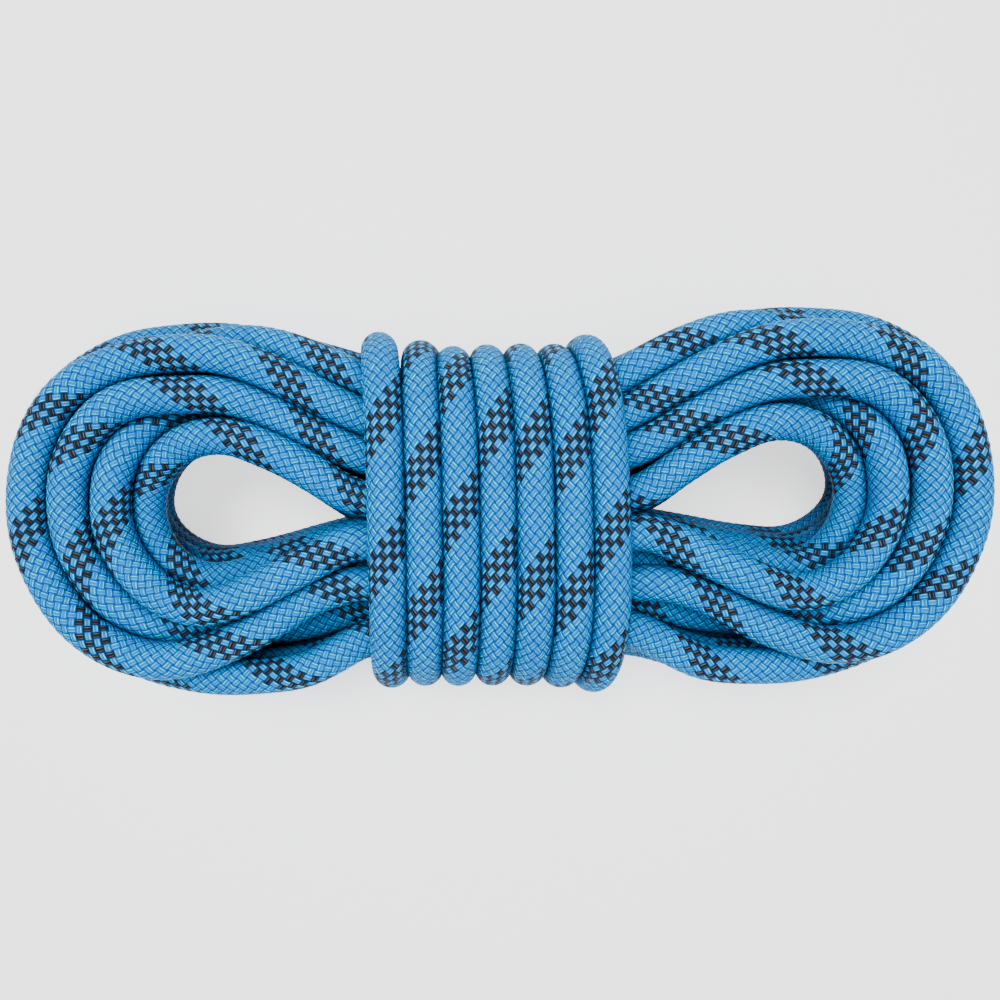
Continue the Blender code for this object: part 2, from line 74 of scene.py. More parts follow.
# the wrap
TURNS = 7
LAST_TURN_SHORT = 0.36      # the wrap ends this part of a turn early, behind the bundle
TURN_POINTS = 28
WRAP_FRONT = 61.8
WRAP_HALF = 41.5
WRAP_GROWTH = 0.3
WRAP_Y = -3.0
WRAP_LEFT = -33.2
TURN_PITCH = 9.86
BULGE = 3.3
LEAN = 1.1
ROUNDNESS = 0.68
SPLIT_AT = 0.75             # a turn's solid ends in the middle of its back
CROSS_FROM = 0.55           # a turn moves on to the next one from here, as a share of the turn
CROSS_PART = 0.4            # and over this much of it

# settling: the rope is pushed apart, bent back smooth and drawn towards its route, round by round
ROUNDS = 360
SEARCH_EVERY = 12           # rounds between two searches for the stretches that touch
SEARCH_ROOM = 4.0
NEIGHBOURS = 6              # points this near along the rope never push each other
PUSH = 1.5                  # more than the whole overlap, so that it settles sooner
STIFFNESS = 0.25
PULL = 0.02                 # towards the route, less and less
PULL_UNTIL = 0.6            # and not at all after this share of the rounds
WRAP_GIVE = 0.2             # the wrap's front and sides are pulled tight and move this little
WRAP_LOW = 30.0             # below this height the wrap gives way like the loops

# the opened stretch at each end of the rope
OPENED = 27.0
SHEATH_OUT = 4.55
SHEATH_WALL = 0.8
STRANDS = 7
STRAND = 1.1                # radius of a core strand
STRAND_RING = 2.4           # the six outer strands lie on this radius
STRAND_TWIST = 1.1          # turns of the outer strands along the opened stretch
PLUG = 3.0                  # length of the melted end plug
SLEEVE = 16.0
SLEEVE_IN = SHEATH_OUT + 0.15
SLEEVE_OUT = SLEEVE_IN + 0.25
SLEEVE_END = 1.0            # the sleeve stands past the plug by this much

# ---- the left half of each loop that can be told apart, from the lower side of the waist --------
# ---- round the lobe to the upper side; the right half is the same half mirrored and tilted ------
ROUTES = {
    "top_outer": [
        (-37, -25, 50), (-52, -28, 50), (-66, -36, 51), (-77, -41, 52), (-87, -44, 54),
        (-97, -43, 55), (-107, -38, 56), (-116, -30, 56), (-122, -20, 56), (-126, -10, 56),
        (-127, 0, 56), (-126, 10, 56), (-122, 21, 56), (-114, 30, 56), (-105, 34, 56),
        (-96, 37, 56), (-86, 38, 56), (-76, 38, 55), (-66, 35, 53), (-52, 29, 50),
        (-38, 25, 48)],
    "rim": [
        (-38, -44, 46), (-53, -51, 46), (-68, -52, 46), (-79, -52, 45), (-91, -50, 44),
        (-103, -46, 44), (-114, -39, 44), (-123, -31, 44), (-128, -21, 44), (-131, -10, 44),
        (-132, 0, 44), (-131, 11, 44), (-127, 22, 44), (-119, 30, 44), (-110, 36, 44),
        (-101, 39, 44), (-90, 42, 45), (-79, 44, 47), (-67, 45, 49), (-52, 42, 50),
        (-38, 37, 50)],
    "outer": [
        (-40, -42, 35), (-56, -48, 34), (-72, -50, 33), (-85, -50, 32), (-97, -49, 32),
        (-109, -45, 32), (-119, -39, 32), (-128, -31, 32), (-134, -22, 32), (-137, -11, 32),
        (-138, 0, 32), (-138, 11, 32), (-137, 21, 33), (-132, 31, 34), (-122, 39, 35),
        (-109, 45, 36), (-96, 47, 36), (-83, 48, 36), (-71, 47, 35), (-56, 43, 35),
        (-40, 37, 35)],
    "top_middle": [
        (-39, -20, 39), (-55, -24, 38), (-70, -31, 38), (-80, -36, 40), (-88, -38, 44),
        (-96, -35, 49), (-105, -29, 53), (-112, -20, 54), (-116, -12, 54), (-117, -3, 54),
        (-116, 7, 54), (-112, 15, 54), (-105, 23, 54), (-95, 27, 54), (-85, 28, 54),
        (-76, 29, 54), (-66, 27, 52), (-52, 21, 50), (-38, 14, 49)],
    "top_inner": [
        (-37, -11, 53), (-51, -17, 55), (-61, -22, 57), (-71, -27, 57), (-82, -30, 56),
        (-92, -27, 55), (-99, -22, 54), (-104, -15, 54), (-107, -8, 54), (-107, 0, 54),
        (-107, 6, 54), (-105, 12, 53), (-101, 19, 51), (-95, 23, 48), (-87, 26, 43),
        (-77, 26, 41), (-66, 23, 40), (-54, 17, 40), (-39, 11, 40)],
    "eye": [
        (-39, -10, 41), (-54, -15, 42), (-65, -19, 43), (-74, -22, 44), (-83, -23, 45),
        (-91, -20, 46), (-98, -13, 46), (-101, -6, 46), (-102, 1, 46), (-100, 8, 47),
        (-95, 14, 49), (-88, 19, 51), (-80, 21, 53), (-72, 21, 54), (-65, 18, 54),
        (-58, 15, 53), (-51, 10, 52), (-37, 0, 50)],
    "inner": [
        (-41, -11, 31), (-56, -14, 31), (-68, -17, 31), (-80, -19, 32), (-89, -20, 33),
        (-97, -16, 34), (-104, -10, 35), (-107, -3, 35), (-107, 3, 35), (-105, 10, 36),
        (-99, 17, 38), (-90, 22, 40), (-80, 22, 41), (-71, 19, 42), (-63, 14, 41),
        (-51, 5, 40), (-39, -4, 40)],
}
# each loop in the order in which the rope makes it: its route, or its nest and layer, and the row
# and layer of the waist in which its lower and its upper side lie
LOOPS = (
    ((0, 0), (0, 0), (0, 0)),
    ((0, 1), (0, 1), (0, 1)),
    ("outer", (0, 2), (0, 2)),
    ("rim", (0, 3), (0, 3)),
    ("top_outer", (1, 3), (1, 3)),
    ((1, 2), (1, 2), (1, 2)),
    ((1, 1), (1, 1), (1, 1)),
    ((1, 0), (1, 0), (1, 0)),
    ((2, 0), (2, 0), (2, 0)),
    ((2, 1), (2, 1), (2, 1)),
    ("top_middle", (2, 2), (2, 3)),
    ("top_inner", (2, 3), (2, 2)),
    ("eye", (3, 3), (3, 3)),
    ("inner", (3, 2), (3, 2)),
    ((3, 1), (3, 1), (3, 1)),
    ((3, 0), (3, 0), (3, 0)),
)
NESTS = 4
LAYER_OF_ROUTES = 2         # the layer in which the outer and the inner route lie
BEFORE = np.array([-37.0, 12.0])    # where the first end comes into the waist, as y and z
AFTER = np.array([-18.0, 12.5])     # where the rope leaves the waist for the wrap
END_A = [(108, -37.5, 5.8), (92, -37.5, 5.8), (76, -37.5, 5.8), (60, -37, 6), (46, -36, 8),
         (32, -37, 11), (18, -37, 12)]
LEAD = [(-18, -18, 12.5), (-34, -19, 11), (-47, -22, 7), (-53, -30, 5.1), (-49, -39, 5.1),
        (-40, -45, 8)]
END_B = [(34.5, 8, 5), (38, -6, 5), (46, -18, 5), (58, -25, 5.4), (76, -26.5, 5.8),
         (92, -26.5, 5.8), (108, -26.5, 5.8)]

# ---- the looks; lengths are in millimetres unless a comment says otherwise ----------------------
CARRIERS = 12               # yarns that wind each way round the rope
CELL = 2.92                 # length of rope from one float of a column to the next
TRACER = 4                  # dark carriers, side by side
FLOAT_WIDTH = 0.40          # a float's half width, as a share of the carriers' spacing
PLY_AT = 0.22               # how far the crests of a float's two plies are from its middle
PLY_WIDTH = 0.11
SHADED_PLY_HIGHLIGHT = 0.65            # how bright the painted highlight on a float's second, less lit ply is beside its first
FLOAT_SWAY = 0.16           # how far a float wanders sideways, as a share of the carriers' spacing
SWAY_SCALE = 1.1
FIBRE_ACROSS = 9.0          # the fibres' noise is much finer across a float than along it
FIBRE_ALONG = 1.3
FIBRE_SCALE = 1.6
FLOAT_EDGE = 12.0           # how sharply a float's cover ends at its sides
FLOAT_TIP = 6.0             # and at its tips
BESIDE_WIDTH = 0.55         # valleys this near a tracer float are dark too
BESIDE_LENGTH = 0.8
FIBRE_HIGHLIGHT = 1.2            # how much the fibres strengthen the painted highlight on a crest
OWN_HIGHLIGHT = 0.7              # and how much each float's painted highlight differs from the next
PAINTED_SHADE_SHARE = 0.9               # share of the painted shade colours in the deepest valleys and crevices
YARN_ROUGH = 0.62
CREST_SMOOTHER = 0.22       # the brightest crests are less rough by this much
YARN_SPECULAR = 0.12
BUMP = 0.22                 # height of the fine relief
FIBRE_RELIEF = 0.15         # the fibres' share of it
PLAITS = 6                  # mesh faces per float, along the rope and round it
RELIEF = 0.30               # how far a float stands out of the sheath
SINK = 0.17                 # how far the sheath's valleys lie inside the nominal surface
DOME_ALONG = 2.4            # powers that shape a float: the higher, the flatter its top
DOME_ACROSS = 2.2
ABOVE_FLOOR = 0.05          # no part of the sheath is lower than this
END_RADIUS = 4.62           # the rope is thinner where its end sleeve grips it
GRIP_LENGTH = 8.0           # over this length it gets as thin as that
PLUG_SIDES = 48
SLEEVE_SIDES = 64
SLEEVE_RIDGES = 12          # steps of the sleeve's slightly uneven surface
STRAND_SIDES = 24
STRAND_RINGS = 60
STRAND_PLIES = 3
STRAND_GROOVE = 0.12        # depth of the grooves between its plies, as a share of its radius
PLY_TURN = 1.7              # radians per millimetre
CREVICE = 3.4               # nearer than this to another stretch, the rope gets painted shade
TOUCHING = 0.1              # as near as this, the painted shade is darkest
CREVICE_STEP = 3            # rings from one row of places that are looked at to the next
MAP_CELL = 1.0              # grid of the bundle's upper surface
SKY_WAYS = 12               # directions in which the sky is looked for
SKY_AWAY = (3, 5, 8, 12, 18, 27)    # and the distances
SKY_OPEN = 0.06             # up to this share of the sky hidden, a place counts as open
SKY_HIDDEN = 0.58           # from this share on, its painted shade is quite dark
SKY_ABOVE = 0.6             # a surface that faces up is spared this share of the painted shade
# how each turn of the wrap is rolled about its own line, in degrees
TURN_ROLL = (95, 125, 155, 105, 190, 285, 240)
FRONT_ABOVE = 50.0          # the front of the wrap lies above this height
CAMERA_HEIGHT = 260.0       # the camera looks straight down
LENS = 27.07
FLOOR_HALF = 3.0            # metres
# name, place, size in metres and power in watts
LIGHTS = (
    ("key", (-0.16, 0.22, 1.0), 0.40, 15.5),
    ("fill", (0.40, -0.10, 0.95), 0.5, 4.3),
    ("front", (0.0, -0.4, 0.9), 0.5, 2.7),
)

# painted highlight: this light cyan stands in for the lamps' glints along the blue floats' real
# ply crests
PAINTED_BLUE_HIGHLIGHT = (0.000, 0.950, 1.000)
BLUE = (0.000, 0.168, 0.620)
# painted shade: the deep blue of the recesses between the floats
PAINTED_VALLEY_SHADE = (0.000, 0.026, 0.180)
# painted shade: the near-black blue of crevices and of places under the bundle
PAINTED_CREVICE_SHADE = (0.000, 0.006, 0.035)
# painted highlight: this grey stands in for the lamps' glints along the tracer floats' real ply
# crests
PAINTED_TRACER_HIGHLIGHT = (0.135, 0.122, 0.135)
TRACER_DARK = (0.009, 0.009, 0.014)
GLINT = (0.00, 0.70, 0.95)
CORE_WHITE = (0.80, 0.79, 0.74)
SLEEVE_BLACK = (0.018, 0.018, 0.020)
FUSED_BLUE = (0.010, 0.110, 0.290)


# ---- curves -------------------------------------------------------------------------------------
def arc(points):
    """The length along a line of points, up to each point."""
    steps = np.linalg.norm(np.diff(points, axis=0), axis=1)
    return np.concatenate([[0.0], np.cumsum(steps)])


def resample(points, count):
    """The same line, with its points evenly spaced."""
    along = arc(points)
    wanted = np.linspace(0.0, along[-1], count)
    return np.stack([np.interp(wanted, along, points[:, k]) for k in range(3)], axis=1)


def smooth_curve(points, parts=12):
    """A centripetal Catmull-Rom curve through given points, sampled every STEP.

    Returns the curve and, for each point given, the number of the sample nearest to it.
    """
    p = np.array(points, float)
    p = np.vstack([2 * p[0] - p[1], p, 2 * p[-1] - p[-2]])
    t = np.concatenate([[0.0], np.cumsum(np.linalg.norm(np.diff(p, axis=0), axis=1) ** 0.5)])
    spans = []
    for i in range(1, len(p) - 2):
        t0, t1, t2, t3 = t[i - 1:i + 3]
        u = np.linspace(t1, t2, parts + 1)[:-1, None]
        a1 = (t1 - u) / (t1 - t0) * p[i - 1] + (u - t0) / (t1 - t0) * p[i]
        a2 = (t2 - u) / (t2 - t1) * p[i] + (u - t1) / (t2 - t1) * p[i + 1]
        a3 = (t3 - u) / (t3 - t2) * p[i + 1] + (u - t2) / (t3 - t2) * p[i + 2]
        b1 = (t2 - u) / (t2 - t0) * a1 + (u - t0) / (t2 - t0) * a2
        b2 = (t3 - u) / (t3 - t1) * a2 + (u - t1) / (t3 - t1) * a3
        spans.append((t2 - u) / (t2 - t1) * b1 + (u - t1) / (t2 - t1) * b2)
    line = np.vstack(spans + [p[-2:-1]])
    along = arc(line)
    count = round(along[-1] / STEP) + 1
    nearest = np.rint(along[::parts] / along[-1] * (count - 1)).astype(int)
    return resample(line, count), nearest


# ---- the loops ----------------------------------------------------------------------------------
def waist_slot(side, row, layer):
    """Where a loop crosses the waist, as y and z; side is -1 for its lower side, 1 for upper."""
    shifted = row % 2 if side > 0 else (row + 1) % 2
    return np.array([WAIST_Y + side * ROWS[row], LAYERS[layer] + LAYER_SHIFT * shifted])


def left_half(spec, count=19):
    """The left half of a loop: a named route, or one between the outer and the inner route."""
    if isinstance(spec, str):
        return np.array(ROUTES[spec], float)
    nest, layer = spec
    share = nest / (NESTS - 1)
    outer = resample(np.array(ROUTES["outer"], float), count)
    inner = resample(np.array(ROUTES["inner"], float), count)
    line = (1 - share) * outer + share * inner
    below = LAYER_OF_ROUTES - layer
    line[:, 2] -= NEST_DROP * below
    line[:, :2] *= 1 + below * (NEST_SPREAD + NEST_SPREAD_INNER * share)
    return line


def right_half(left):
    """The left half mirrored, turned by TILT and run the other way."""
    line = left[::-1].copy()
    x = -line[:, 0]
    y = line[:, 1].copy()
    line[:, 0] = x - TILT * y
    line[:, 1] = y + TILT * x
    return line


def loop_points(number):
    """One loop, from the middle of the waist's lower side all the way round to it again."""
    spec, low, high = LOOPS[number]
    own = waist_slot(-1, *low)
    above = waist_slot(1, *high)
    before = waist_slot(-1, *LOOPS[number - 1][1]) if number else BEFORE
    after = waist_slot(-1, *LOOPS[number + 1][1]) if number + 1 < len(LOOPS) else AFTER
    left = left_half(spec)
    coming = WAIST_SHARE * own + (1 - WAIST_SHARE) * before
    going = WAIST_SHARE * own + (1 - WAIST_SHARE) * after
    points = [(0, *((own + before) / 2)), (-WAIST_HALF, *coming)]
    points += [tuple(point) for point in left]
    points += [(x, *above) for x in (-WAIST_HALF, 0, WAIST_HALF)]
    points += [tuple(point) for point in right_half(left)]
    points += [(WAIST_HALF, *going), (0, *((own + after) / 2))]
    return points


# ---- the wrap -----------------------------------------------------------------------------------
def rounded(value):
    """A sine or cosine squared up, for the rounded box that the turns follow."""
    return math.copysign(abs(value) ** ROUNDNESS, value)


def wrap_points():
    """Seven turns: each goes up the front, over the upper side, down the back and one pitch on."""
    points = []
    middle = (WRAP_FRONT + REST) / 2
    half = (WRAP_FRONT - REST) / 2
    for step in range(round((TURNS - LAST_TURN_SHORT) * TURN_POINTS) + 1):
        turn, part = divmod(step / TURN_POINTS, 1.0)
        up = -rounded(math.cos(math.tau * part))
        out = rounded(math.sin(math.tau * part))
        crossing = min(1.0, max(0.0, (part - CROSS_FROM) / CROSS_PART))
        along = turn + 0.5 * (1 - math.cos(math.pi * crossing))
        x = WRAP_LEFT + TURN_PITCH * along + BULGE * max(0.0, out) ** 2 - LEAN * up
        points.append((x, WRAP_Y + (WRAP_HALF + WRAP_GROWTH * turn) * up, middle + half * out))
    return points


# ---- the whole rope -----------------------------------------------------------------------------
def lay_out():
    """The rope's centre line from end to end, and the name and first point of each stretch."""
    first = waist_slot(-1, *LOOPS[0][1])
    wrap = wrap_points()
    stretches = [("end_a", END_A + [(0, *((first + BEFORE) / 2))])]
    for number in range(len(LOOPS)):
        stretches.append((f"loop_{number + 1:02d}", loop_points(number)[1:]))
    stretches.append(("lead", LEAD))
    start = 1
    for turn in range(TURNS):
        end = round((turn + SPLIT_AT) * TURN_POINTS) + 1 if turn + 1 < TURNS else len(wrap)
        stretches.append((f"wrap_turn_{turn + 1}", wrap[start:end]))
        start = end
    stretches.append(("end_b", END_B))
    line, nearest = smooth_curve([point for _, points in stretches for point in points])
    starts = [0]
    at = 0
    for _, points in stretches[:-1]:
        at += len(points)
        starts.append(nearest[at - 1])
    return line, [name for name, _ in stretches], starts


def near_pairs(x, reach, rows=300):
    """All pairs of points closer than reach that aren't close along the rope."""
    first, second = [], []
    for start in range(0, len(x), rows):
        block = x[start:start + rows]
        apart = ((block[:, None] - x[None, start:]) ** 2).sum(2)
        i, j = np.nonzero(apart < reach ** 2)
        keep = j > i + NEIGHBOURS
        first.append(i[keep] + start)
        second.append(j[keep] + start)
    return np.concatenate(first), np.concatenate(second)


def settle(start, names, starts):
    """Moves the centre line until the rope doesn't pass through itself or through the floor.

    Returns the line, moved to the middle of the frame, and how far it was moved, as x and y.
    """
    count = len(start)
    wrapped = np.zeros(count, bool)
    wrapped[starts[names.index("lead")]:starts[names.index("end_b")]] = True
    give = np.where(wrapped & (start[:, 2] > WRAP_LOW), WRAP_GIVE, 1.0)
    floor = np.full(count, REST)
    opened = round((OPENED + SLEEVE_END) / STEP) + 2
    floor[:opened] = SLEEVE_OUT
    floor[-opened:] = SLEEVE_OUT
    x = start.copy()
    for turn in range(ROUNDS):
        if turn % SEARCH_EVERY == 0:
            i, j = near_pairs(x, TOUCH + SEARCH_ROOM)
            share = give[i] / (give[i] + give[j])
            reach = np.where(wrapped[i] & wrapped[j], WRAP_TOUCH, TOUCH)
        gap = x[j] - x[i]
        apart = np.sqrt((gap * gap).sum(1))
        hit = np.nonzero(apart < reach)[0]
        a, b, w = i[hit], j[hit], share[hit]
        push = gap[hit] * ((reach[hit] - apart[hit]) / np.maximum(apart[hit], 1e-6))[:, None]
        hits = np.bincount(a, minlength=count) + np.bincount(b, minlength=count)
        move = np.stack([np.bincount(b, (1 - w) * push[:, k], count)
                         - np.bincount(a, w * push[:, k], count) for k in range(3)], axis=1)
        x = x + PUSH * move / np.maximum(hits, 1.0)[:, None]
        shift = x - start
        shift[1:-1] += STIFFNESS * (shift[:-2] - 2 * shift[1:-1] + shift[2:])
        shift *= 1 - PULL * max(0.0, 1 - turn / (PULL_UNTIL * ROUNDS))
        x = start + shift
        x[:, 2] = np.maximum(x[:, 2], floor)
    middle = (x[:, :2].min(axis=0) + x[:, :2].max(axis=0)) / 2
    x[:, :2] -= middle
    return x, middle


# ---- the braid's surface ------------------------------------------------------------------------
def float_height(across, along):
    """How high one float stands, from 0 to 1: domed along its length and across it."""
    inside = np.clip(1 - (np.abs(along) / (1 - FLOAT_WIDTH)) ** DOME_ALONG, 0, 1)
    wide = np.clip(1 - (np.abs(across) / FLOAT_WIDTH) ** DOME_ACROSS, 0, 1)
    return np.sqrt(inside * wide)


def braid_height(around, along):
    """The braid's height at places counted in floats round the rope and along it."""
    column = around - np.round(around)
    row = along - np.round(along)
    first = float_height(column + row, column - row)
    column = around + 0.5 - np.round(around + 0.5)
    row = along + 0.5 - np.round(along + 0.5)
    second = float_height(column - row, column + row)
    return np.maximum(first, second)


def fine_line(points, spacing):
    """The centre line again, on a smooth curve through its points, at this spacing."""
    smooth = points.copy()
    for _ in range(2):
        smooth[1:-1] = (smooth[:-2] + 2 * smooth[1:-1] + smooth[2:]) / 4
    padded = np.vstack([2 * smooth[0] - smooth[1], smooth, 2 * smooth[-1] - smooth[-2]])
    a, b, c, d = padded[:-3, None], padded[1:-2, None], padded[2:-1, None], padded[3:, None]
    t = np.linspace(0, 1, 9)[:-1][None, :, None]
    curve = b + 0.5 * t * (c - a + t * (2 * a - 5 * b + 4 * c - d + t * (3 * (b - c) + d - a)))
    curve = np.vstack([curve.reshape(-1, 3), smooth[-1:]])
    return resample(curve, round(arc(curve)[-1] / spacing) + 1)


def carried_frames(line):
    """Two directions across the line at each point, carried along it without twisting."""
    tangents = np.gradient(line, axis=0)
    tangents /= np.linalg.norm(tangents, axis=1)[:, None]
    side = np.cross(tangents[0], (0.0, 0.0, 1.0))
    side /= np.linalg.norm(side)
    sides = np.empty_like(line)
    for k, tangent in enumerate(tangents):
        side = side - tangent * side.dot(tangent)
        side /= math.sqrt(side.dot(side))
        sides[k] = side
    return sides, np.cross(tangents, sides)


def grid_mesh(name, points, corners_uv, closed_ends=True, painted_shade=None):
    """A tube mesh from rings of points, with a UV for each corner of each ring."""
    rings, sides = points.shape[:2]
    ring, side = np.meshgrid(np.arange(rings - 1), np.arange(sides), indexing="ij")
    ring, side = ring.ravel(), side.ravel()
    after = (side + 1) % sides
    quads = np.stack([ring * sides + side, ring * sides + after,
                      (ring + 1) * sides + after, (ring + 1) * sides + side], axis=1)
    uv = np.stack([corners_uv[ring, side], corners_uv[ring, side + 1],
                   corners_uv[ring + 1, side + 1], corners_uv[ring + 1, side]], axis=1)
    mesh = bpy.data.meshes.new(name)
    loops = quads.ravel()
    sizes = np.full(len(quads), 4)
    uv = uv.reshape(-1, 2)
    if closed_ends:
        caps = np.concatenate([np.arange(sides)[::-1], (rings - 1) * sides + np.arange(sides)])
        loops = np.concatenate([loops, caps])
        sizes = np.concatenate([sizes, [sides, sides]])
        uv = np.vstack([uv, corners_uv[0, :sides][::-1], corners_uv[-1, :sides]])
    mesh.vertices.add(rings * sides)
    mesh.vertices.foreach_set("co", points.reshape(-1).astype(np.float32))
    mesh.loops.add(len(loops))
    mesh.loops.foreach_set("vertex_index", loops.astype(np.int32))
    mesh.polygons.add(len(sizes))
    starts = np.concatenate([[0], np.cumsum(sizes)[:-1]])
    mesh.polygons.foreach_set("loop_start", starts.astype(np.int32))
    mesh.update(calc_edges=True)
    layer = mesh.uv_layers.new(name="braid")
    layer.data.foreach_set("uv", uv.reshape(-1).astype(np.float32))
    if painted_shade is not None:
        layer = mesh.attributes.new("painted_shade", "FLOAT", "POINT")
        layer.data.foreach_set("value", painted_shade.reshape(-1).astype(np.float32))
    mesh.shade_smooth()
    mesh.validate()
    return mesh


def add_piece(name, mesh, material):
    """A visible piece with one material, which rides on the rope's one body."""
    piece = bpy.data.objects.new(name, mesh)
    piece.data.materials.append(material)
    bpy.context.scene.collection.objects.link(piece)
    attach(piece, "root")
    return piece


class Braid:
    """The whole rope's braided surface, from which each stretch takes its part."""

    def __init__(self, rope, names, starts):
        self.spacing = CELL / PLAITS
        self.line = fine_line(rope, self.spacing)
        self.along = arc(self.line)
        roll = np.radians(self.roll_of_turns(rope, names, starts))[:, None]
        side, up = carried_frames(self.line)
        self.sides = np.cos(roll) * side - np.sin(roll) * up
        self.ups = np.sin(roll) * side + np.cos(roll) * up
        self.count = CARRIERS * PLAITS
        length = self.along[-1]
        to_end = np.minimum(self.along, length - self.along)
        grip = np.clip((OPENED - to_end) / GRIP_LENGTH, 0, 1)
        grip = grip * grip * (3 - 2 * grip)
        self.radius = ROPE / 2 + (END_RADIUS - ROPE / 2) * grip
        # painted shade: the colour is darkened in crevices and where the bundle hides the sky
        self.painted_shade = 1 - (1 - self.crevices()) * (1 - self.shade())

    def roll_of_turns(self, rope, names, starts):
        """How far the rope is rolled at each ring: it rolls behind the wrap, not on its front."""
        places, rolls = [], []
        for turn, degrees in enumerate(TURN_ROLL):
            number = names.index(f"wrap_turn_{turn + 1}")
            first, last = (self.place_of(rope[starts[number + k]]) for k in (0, 1))
            front = first + np.nonzero(self.line[first:last, 2] > FRONT_ABOVE)[0]
            places += [front[0], front[-1]]
            rolls += [degrees, degrees]
        return np.interp(np.arange(len(self.line)), places, rolls)

    def crevices(self):
        """For every few rings: 1 where the surface touches another stretch, 0 where it's clear; it
        drives the painted shade.
        """
        rows = np.arange(0, len(self.line), CREVICE_STEP)
        centre = self.line[rows]
        first, second = near_pairs(centre, 2 * TOUCH)
        angle = math.tau * np.arange(self.count) / self.count
        room = np.full((self.count, len(rows)), ROPE)
        radius = ROPE / 2
        for here, there in ((first, second), (second, first)):
            apart = centre[there] - centre[here]
            square = (apart * apart).sum(1) + radius * radius
            sideways = (apart * self.sides[rows[here]]).sum(1) * 2 * radius
            upward = (apart * self.ups[rows[here]]).sum(1) * 2 * radius
            for k, turn in enumerate(angle):
                reach = np.sqrt(square - sideways * math.cos(turn) - upward * math.sin(turn))
                np.minimum.at(room[k], here, reach - radius)
        return np.clip((CREVICE - room.T) / (CREVICE - TOUCHING), 0, 1) ** 3

    def shade(self):
        """For every few rings: 0 where the sky is open, 1 where the bundle hides most of it; it
        drives the painted shade.
        """
        rows = np.arange(0, len(self.line), CREVICE_STEP)
        points = self.ring_points(rows, np.full((len(rows), self.count), ROPE / 2))
        normals = (points - self.line[rows][:, None]) / (ROPE / 2)
        corner, top = self.height_map()
        upward = np.maximum(normals[:, :, 2], 0)
        hidden = np.zeros(points.shape[:2])
        total = np.full(points.shape[:2], 1e-6)
        for turn in math.tau * np.arange(SKY_WAYS) / SKY_WAYS:
            way = np.array((math.cos(turn), math.sin(turn)))
            steepest = np.zeros(points.shape[:2])
            for away in SKY_AWAY:
                cell = np.rint((points[:, :, :2] + away * way - corner) / MAP_CELL).astype(int)
                rise = top[cell[:, :, 0], cell[:, :, 1]] - points[:, :, 2]
                np.maximum(steepest, rise / away, out=steepest)
            facing = np.maximum(normals[:, :, :2] @ way, 0) + upward
            hidden += facing * steepest ** 2 / (1 + steepest ** 2)
            total += facing
        shade = np.clip((hidden / total - SKY_OPEN) / (SKY_HIDDEN - SKY_OPEN), 0, 1)
        return shade * (1 - SKY_ABOVE * upward)

    def height_map(self):
        """The place of a grid's corner, and the height of the bundle's upper surface over it."""
        margin = SKY_AWAY[-1] + ROPE
        flat = self.line[:, :2]
        corner = flat.min(axis=0) - margin
        size = np.ceil((flat.max(axis=0) + margin - corner) / MAP_CELL).astype(int) + 1
        top = np.zeros(size)
        nearest = np.rint((flat - corner) / MAP_CELL).astype(int)
        reach = math.ceil(ROPE / 2 / MAP_CELL)
        for across in range(-reach, reach + 1):
            for up in range(-reach, reach + 1):
                cell = nearest + (across, up)
                apart = corner + cell * MAP_CELL - flat
                left = (ROPE / 2) ** 2 - (apart * apart).sum(1)
                over = left > 0
                height = self.line[over, 2] + np.sqrt(left[over])
                np.maximum.at(top, (cell[over, 0], cell[over, 1]), height)
        return corner, top

    def place_of(self, point):
        """The number of the ring nearest to a point of the settled centre line."""
        return int(np.argmin(np.linalg.norm(self.line - point, axis=1)))

    def mesh(self, name, first, last, inner=None):
        """The surface from one ring to another; with an inner radius it is a hollow sheath."""
        rings = np.arange(first, last + 1)
        around = np.arange(self.count + 1) / PLAITS
        along = self.along[rings] / CELL
        height = braid_height(around[None, :-1], along[:, None])
        reach = self.radius[rings][:, None] - SINK + RELIEF * height
        points = self.ring_points(rings, reach)
        uv = np.stack(np.broadcast_arrays(around[None, :], along[:, None]), axis=2)
        row = np.minimum(rings // CREVICE_STEP, len(self.painted_shade) - 2)
        share = (rings / CREVICE_STEP - row)[:, None]
        painted_shade = self.painted_shade[row] * (1 - share) + self.painted_shade[row + 1] * share
        if inner is not None:
            back = rings[::-1]
            wall = self.ring_points(back, np.full((len(back), self.count), inner))
            points = np.vstack([points, wall, points[:1]])
            uv = np.vstack([uv, uv[::-1], uv[:1]])
            painted_shade = np.vstack([painted_shade, painted_shade[::-1], painted_shade[:1]])
        return grid_mesh(name, points * MM, uv, closed_ends=inner is None, painted_shade=painted_shade)

    def ring_points(self, rings, reach):
        """Points round the centre line at these rings, this far from it and above the floor."""
        angle = math.tau * np.arange(self.count) / self.count
        out = (np.cos(angle)[None, :, None] * self.sides[rings][:, None]
               + np.sin(angle)[None, :, None] * self.ups[rings][:, None])
        points = self.line[rings][:, None] + out * reach[:, :, None]
        points[:, :, 2] = np.maximum(points[:, :, 2], ABOVE_FLOOR)
        return points


